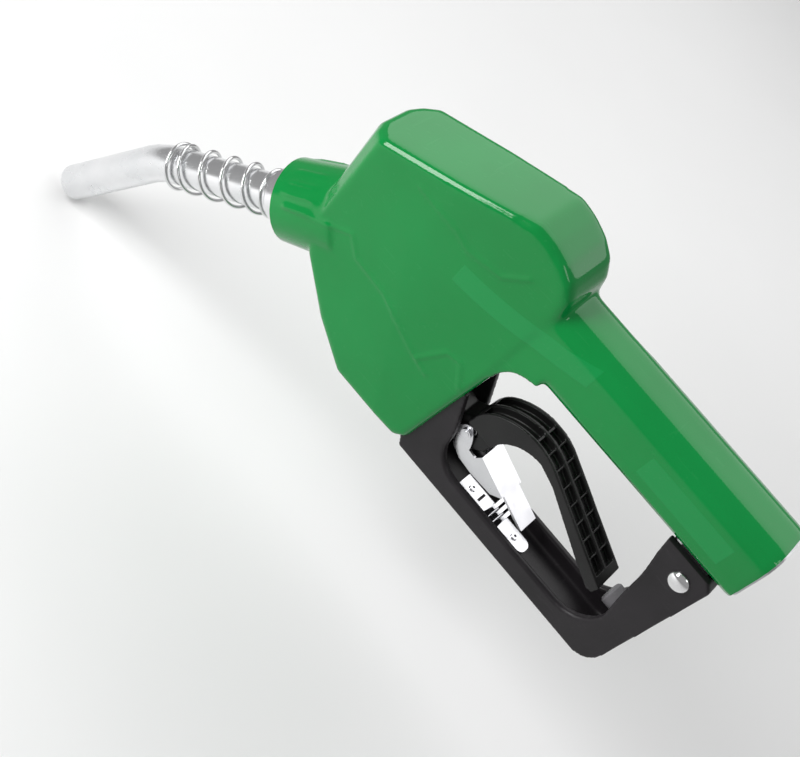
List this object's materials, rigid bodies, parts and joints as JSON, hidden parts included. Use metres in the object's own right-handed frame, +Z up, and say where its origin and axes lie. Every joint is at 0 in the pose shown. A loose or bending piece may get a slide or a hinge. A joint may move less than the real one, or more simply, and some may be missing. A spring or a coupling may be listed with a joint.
{
  "type": "fuel nozzle",
  "caption": "Automatic-shutoff fuel dispensing nozzle with covered pistol body, guarded trigger lever, hold-open clip and rack, and a bent metal spout.",
  "frame": {"origin": "centre of the mouth of the threaded hose inlet, at the rear end of the handle", "axes": "+X back out of the inlet, along the handle; +Z up, away from the lever; Y across, the nozzle being symmetric about its middle plane; the spout points towards -X and down"},
  "size_m": [0.41, 0.05, 0.258],
  "materials": {
    "vinyl": "glossy flexible vinyl",
    "casting": "as cast, machined bores",
    "guard_plastic": "satin, fine grain",
    "clip_steel": "bright plated sheet",
    "lever_plastic": "satin black",
    "spring_steel": "bright wire",
    "stainless": "turned",
    "spout_metal": "polished",
    "polymer_tube": "smooth",
    "zinc": "die cast",
    "chrome_rivet": "polished dome",
    "stud_rubber": "smooth grey rubber",
    "seal_rubber": "matt",
    "brass": "turned"
  },
  "bodies": {
    "nozzle": {"hand_insulator": "vinyl", "body_casting": "casting", "lever_guard": "guard_plastic", "hold_open_rack": "clip_steel", "rack_rivets": "clip_steel", "spout_tube": "spout_metal", "spout_spring": "spring_steel", "vent_tube": "polymer_tube", "vacuum_cap": "zinc", "cap_screws": "stainless", "check_valve_guide": "zinc", "guard_rivet": "chrome_rivet", "guard_front_screw": "chrome_rivet", "lever_rest_stud": "stud_rubber", "main_valve_seat": "brass", "valve_cap": "zinc", "stem_packing": "seal_rubber", "stem_gland_nut": "brass", "diaphragm": "seal_rubber", "check_valve_seat": "brass", "spout_seal": "seal_rubber", "spout_adapter": "spout_metal", "main_valve_spring": "spring_steel", "plunger_spring": "spring_steel", "diaphragm_spring": "spring_steel", "check_valve_spring": "spring_steel"},
    "plunger": {"latch_plunger": "stainless", "latch_balls": "stainless", "lever_pin": "stainless"},
    "latch": {"latch_pin": "stainless", "diaphragm_plate": "zinc"},
    "lever": {"trigger_lever": "lever_plastic", "clip_rivet": "clip_steel", "clip_spring": "spring_steel"},
    "clip": {"hold_open_clip": "clip_steel"},
    "stem": {"valve_stem": "stainless", "main_poppet": "brass", "poppet_seal": "seal_rubber"},
    "check": {"check_poppet": "stainless"}
  },
  "joints": [
    {"name": "plunger_trip", "type": "slide", "parent": "nozzle", "child": "plunger", "axis": [0, 0, -1], "range_m": [0, 0.005], "stiffness_N_per_m": 2000, "springref_m": -0.01, "deforming": ["plunger_spring"]},
    {"name": "lever_pull", "type": "hinge", "parent": "plunger", "child": "lever", "pos_m": [-0.2, 0, -0.086], "axis": [0, -1, 0], "range_deg": [0, 18], "stiffness_Nm_per_rad": 2.5, "springref_deg": -14.32},
    {"name": "clip_swing", "type": "hinge", "parent": "lever", "child": "clip", "pos_m": [-0.138, 0, -0.0848], "axis": [0, -1, 0], "range_deg": [-40, 0]},
    {"name": "valve_lift", "type": "slide", "parent": "nozzle", "child": "stem", "axis": [0, 0, 1], "range_m": [0, 0.0108], "deforming": ["main_valve_spring"]},
    {"name": "shutoff_latch", "type": "slide", "parent": "nozzle", "child": "latch", "axis": [0, 0, 1], "range_m": [0, 0.004], "stiffness_N_per_m": 200, "springref_m": -0.004, "deforming": ["diaphragm_spring", "diaphragm"]},
    {"name": "check_valve", "type": "slide", "parent": "nozzle", "child": "check", "axis": [-0.7837, 0, -0.6211], "range_m": [0, 0.004], "stiffness_N_per_m": 200, "springref_m": -0.004, "deforming": ["check_valve_spring"]}
  ],
  "couplings": [
    {"joint": "clip_swing", "follows": "lever_pull", "ratio": -2.2},
    {"joint": "valve_lift", "follows": "lever_pull", "m_per_rad": 0.034}
  ]
}
